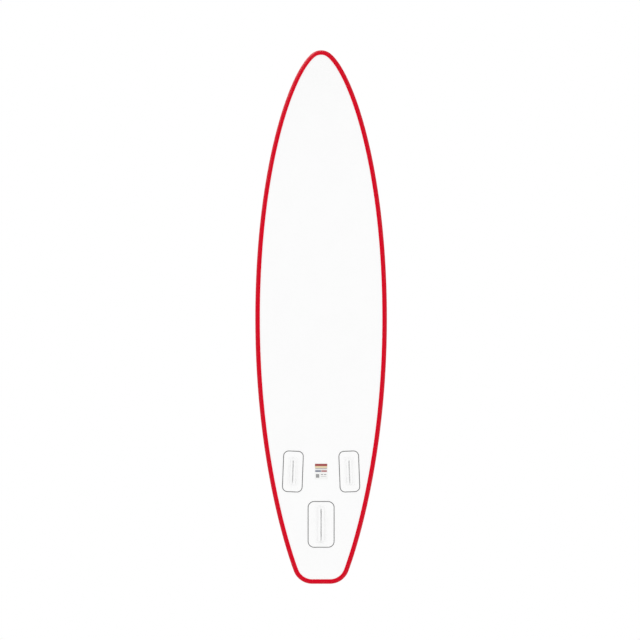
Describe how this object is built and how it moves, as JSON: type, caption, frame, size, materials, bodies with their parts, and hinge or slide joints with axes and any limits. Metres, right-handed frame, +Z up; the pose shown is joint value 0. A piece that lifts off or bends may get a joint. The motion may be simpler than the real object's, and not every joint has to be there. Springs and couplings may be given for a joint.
{
  "type": "stand-up paddle board",
  "caption": "Inflatable stand-up paddle board with a drop-stitch core, red rail band, slide-in fin boxes with locks, grooved deck pads, carry handle, D-rings and a push-button valve.",
  "frame": {"origin": "on the surface the board rests on, under the middle of its length and width", "axes": "+Z up out of the deck, +Y towards the tail, so the nose points to -Y, +X to the left of a rider who faces the nose"},
  "size_m": [0.7892, 3.2, 0.3358],
  "materials": {
    "white_pvc": "white PVC-coated fabric, satin",
    "red_pvc": "red PVC-coated tape, satin",
    "grey_bead": "welded edge, grey",
    "white_plastic": "moulded white plastic",
    "grey_plastic": "moulded grey plastic",
    "valve_plastic": "moulded grey plastic, fine grain",
    "button_plastic": "moulded red plastic",
    "pale_foam": "closed-cell foam, grooved, pale grey",
    "dark_foam": "closed-cell foam, diamond cut, dark grey",
    "grip_foam": "soft padded sleeve, dark grey",
    "webbing": "woven webbing, black",
    "rubber": "black rubber",
    "steel": "polished stainless steel",
    "cloth": "uncoated base cloth and drop threads",
    "sticker": "printed film, plain colour bars"
  },
  "bodies": {
    "board": {"drop_stitch_core": "cloth", "hull_skin": "white_pvc", "deck_skin": "white_pvc", "inner_rail_tape": "white_pvc", "outer_rail_band": "red_pvc", "left_fin_patch": "white_pvc", "right_fin_patch": "white_pvc", "centre_fin_patch": "white_pvc", "left_patch_bead": "grey_bead", "right_patch_bead": "grey_bead", "centre_patch_bead": "grey_bead", "left_fin_box": "white_plastic", "right_fin_box": "white_plastic", "centre_fin_box": "white_plastic", "sticker": "sticker", "main_deck_pad": "pale_foam", "tail_kick_pad": "dark_foam", "handle_anchor_front": "grey_plastic", "handle_anchor_rear": "grey_plastic", "handle_patch_front": "white_pvc", "handle_patch_rear": "white_pvc", "nose_ring_loop": "webbing", "nose_ring_patch": "white_pvc", "cargo_ring_front_left_loop": "webbing", "cargo_ring_front_left_patch": "white_pvc", "cargo_ring_front_right_loop": "webbing", "cargo_ring_front_right_patch": "white_pvc", "cargo_ring_rear_left_loop": "webbing", "cargo_ring_rear_left_patch": "white_pvc", "cargo_ring_rear_right_loop": "webbing", "cargo_ring_rear_right_patch": "white_pvc", "leash_ring_loop": "webbing", "leash_ring_patch": "white_pvc", "valve_body": "valve_plastic", "valve_nut": "valve_plastic", "valve_gasket": "rubber", "valve_spring": "steel", "tether_collar": "rubber"},
    "nose_ring_body": {"nose_ring": "steel"},
    "cargo_ring_front_left_body": {"cargo_ring_front_left": "steel"},
    "cargo_ring_front_right_body": {"cargo_ring_front_right": "steel"},
    "cargo_ring_rear_left_body": {"cargo_ring_rear_left": "steel"},
    "cargo_ring_rear_right_body": {"cargo_ring_rear_right": "steel"},
    "leash_ring_body": {"leash_ring": "steel"},
    "handle": {"handle_strap": "webbing", "handle_grip": "grip_foam"},
    "left_lock": {"left_fin_lock": "white_plastic"},
    "right_lock": {"right_fin_lock": "white_plastic"},
    "centre_lock": {"centre_fin_lock": "white_plastic"},
    "valve_plunger": {"spring_cup": "valve_plastic"},
    "valve_button": {"valve_stem": "button_plastic", "seal_disc": "rubber"},
    "tether": {"cap_tether": "rubber"},
    "cap": {"valve_cap": "valve_plastic", "cap_seal": "rubber"}
  },
  "joints": [
    {"name": "nose_ring_swing", "type": "hinge", "parent": "board", "child": "nose_ring_body", "pos_m": [0, -1.45354, 0.30318], "axis": [1, 0, 0], "range_deg": [0, 170]},
    {"name": "cargo_ring_front_left_swing", "type": "hinge", "parent": "board", "child": "cargo_ring_front_left_body", "pos_m": [0.15, -1.164, 0.22349], "axis": [-1, 0, 0], "range_deg": [0, 170]},
    {"name": "cargo_ring_front_right_swing", "type": "hinge", "parent": "board", "child": "cargo_ring_front_right_body", "pos_m": [-0.15, -1.164, 0.22349], "axis": [-1, 0, 0], "range_deg": [0, 170]},
    {"name": "cargo_ring_rear_left_swing", "type": "hinge", "parent": "board", "child": "cargo_ring_rear_left_body", "pos_m": [0.205, -0.78966, 0.16576], "axis": [1, 0, 0], "range_deg": [0, 170]},
    {"name": "cargo_ring_rear_right_swing", "type": "hinge", "parent": "board", "child": "cargo_ring_rear_right_body", "pos_m": [-0.205, -0.78966, 0.16576], "axis": [1, 0, 0], "range_deg": [0, 170]},
    {"name": "leash_ring_swing", "type": "hinge", "parent": "board", "child": "leash_ring_body", "pos_m": [0, 1.48981, 0.2003], "axis": [-1, 0, 0], "range_deg": [0, 170]},
    {"name": "handle_tilt", "type": "hinge", "parent": "board", "child": "handle", "pos_m": [0, 0, 0.163], "axis": [0, 1, 0], "range_deg": [-70, 70], "stiffness_Nm_per_rad": 0.5},
    {"name": "left_lock_slide", "type": "slide", "parent": "board", "child": "left_lock", "axis": [-0.9993, 0.0384, 0.0015], "range_m": [0, 0.0062]},
    {"name": "right_lock_slide", "type": "slide", "parent": "board", "child": "right_lock", "axis": [0.9993, 0.0384, 0.0015], "range_m": [0, 0.0062]},
    {"name": "centre_lock_slide", "type": "slide", "parent": "board", "child": "centre_lock", "axis": [1, 0, 0], "range_m": [0, 0.0062]},
    {"name": "valve_press", "type": "slide", "parent": "board", "child": "valve_plunger", "axis": [0, 0.04, -0.9992], "range_m": [0, 0.008], "stiffness_N_per_m": 300, "springref_m": -0.005, "deforming": ["valve_spring"]},
    {"name": "valve_turn", "type": "hinge", "parent": "valve_plunger", "child": "valve_button", "pos_m": [0, 1.345, 0.1898], "axis": [0, -0.04, 0.9992], "range_deg": [0, 90]},
    {"name": "cap_swing", "type": "hinge", "parent": "board", "child": "tether", "pos_m": [0.038, 1.3448, 0.1948], "axis": [0, 0.9992, 0.04], "range_deg": [0, 145]},
    {"name": "cap_turn", "type": "hinge", "parent": "tether", "child": "cap", "pos_m": [0, 1.3446, 0.19979], "axis": [0, -0.04, 0.9992], "range_deg": [0, 90]}
  ]
}
